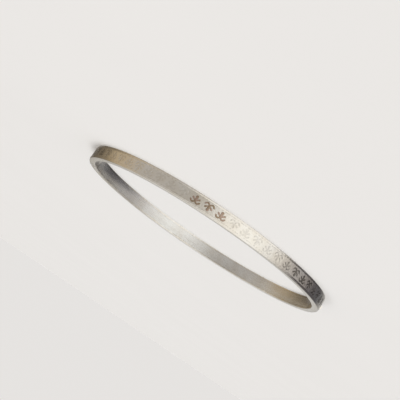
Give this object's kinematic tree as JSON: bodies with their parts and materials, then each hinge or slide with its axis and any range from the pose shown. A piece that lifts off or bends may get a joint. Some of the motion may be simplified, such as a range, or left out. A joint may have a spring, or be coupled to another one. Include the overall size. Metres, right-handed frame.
{
  "type": "hinged bangle bracelet",
  "caption": "Slim round hinged bangle bracelet with an engraved leaf frieze, coloured leaf inlays, a concealed knuckle hinge and a box clasp with a sprung tongue.",
  "frame": {"origin": "on the ring's axis, at the level of the lower edge that the bangle lies on", "axes": "+Z along the ring's axis, through the wrist opening; -Y towards the coloured leaves at the middle of the front half; +X towards the hinge and -X towards the clasp"},
  "size_m": [0.0639, 0.0634, 0.0032],
  "materials": {
    "silver": "polished, engraved",
    "inner_silver": "smooth, lightly worn",
    "rose_gold": "polished, domed",
    "hard_silver": "drawn and filed"
  },
  "bodies": {
    "back_half": {"back_shell": "silver", "back_lining": "inner_silver", "back_hinge_block": "silver", "back_knuckle": "hard_silver", "clasp_box": "silver", "box_mouth_plate": "silver"},
    "front_half": {"front_shell": "silver", "front_lining": "inner_silver", "front_hinge_block": "silver", "front_knuckles": "hard_silver", "hinge_pin": "hard_silver", "front_clasp_block": "silver", "tongue_base": "hard_silver", "leaf_inlay_1": "rose_gold", "leaf_inlay_2": "rose_gold", "leaf_inlay_3": "rose_gold"},
    "thumb_leaf": {"tongue_spring": "hard_silver", "thumb_piece": "silver"}
  },
  "joints": [
    {"name": "bangle_hinge", "type": "hinge", "parent": "back_half", "child": "front_half", "pos_m": [0.03115, 0, 0.0016], "axis": [0, 0, 1], "range_deg": [0, 60], "deforming": ["tongue_spring"]},
    {"name": "thumb_press", "type": "hinge", "parent": "front_half", "child": "thumb_leaf", "pos_m": [-0.03068, 0.0042, 0.0016], "axis": [0, 0, 1], "range_deg": [0, 5], "stiffness_Nm_per_rad": 0.12}
  ]
}
